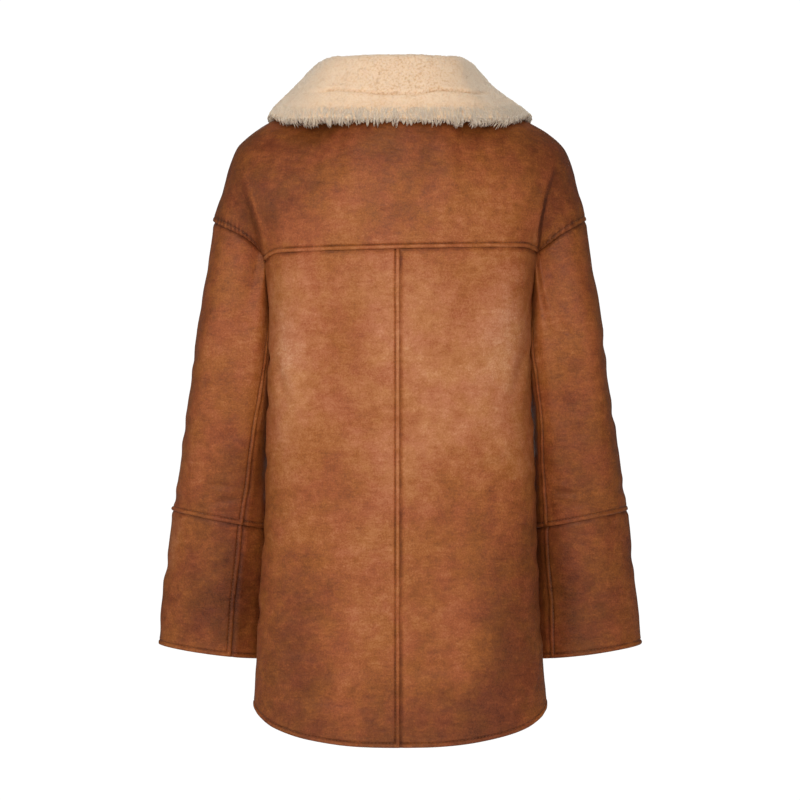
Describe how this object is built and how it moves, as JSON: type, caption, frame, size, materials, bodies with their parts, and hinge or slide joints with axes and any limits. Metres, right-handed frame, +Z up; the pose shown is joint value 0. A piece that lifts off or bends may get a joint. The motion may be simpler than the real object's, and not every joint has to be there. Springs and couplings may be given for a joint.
{
  "type": "leather jacket",
  "caption": "Hip-length leather jacket with a deep shearling collar, a back yoke, dropped shoulders and wide sleeves, filled out as if worn.",
  "frame": {"origin": "middle of the base of the neck, level with the shoulders that the jacket hangs from", "axes": "+Z up, +Y towards the jacket's back, +X towards the wearer's left"},
  "size_m": [0.5992, 0.2884, 0.8201],
  "materials": {
    "leather": "worn, satin",
    "shearling": "dense curly pile",
    "button": "satin"
  },
  "bodies": {
    "root": {"back_yoke": "leather", "back_left": "leather", "back_right": "leather", "front_left": "leather", "front_right": "leather", "sleeve_outer_left": "leather", "sleeve_under_left": "leather", "cuff_outer_left": "leather", "cuff_under_left": "leather", "sleeve_outer_right": "leather", "sleeve_under_right": "leather", "cuff_outer_right": "leather", "cuff_under_right": "leather", "collar": "shearling", "button_1": "button", "button_2": "button", "button_3": "button", "button_4": "button"}
  },
  "joints": []
}
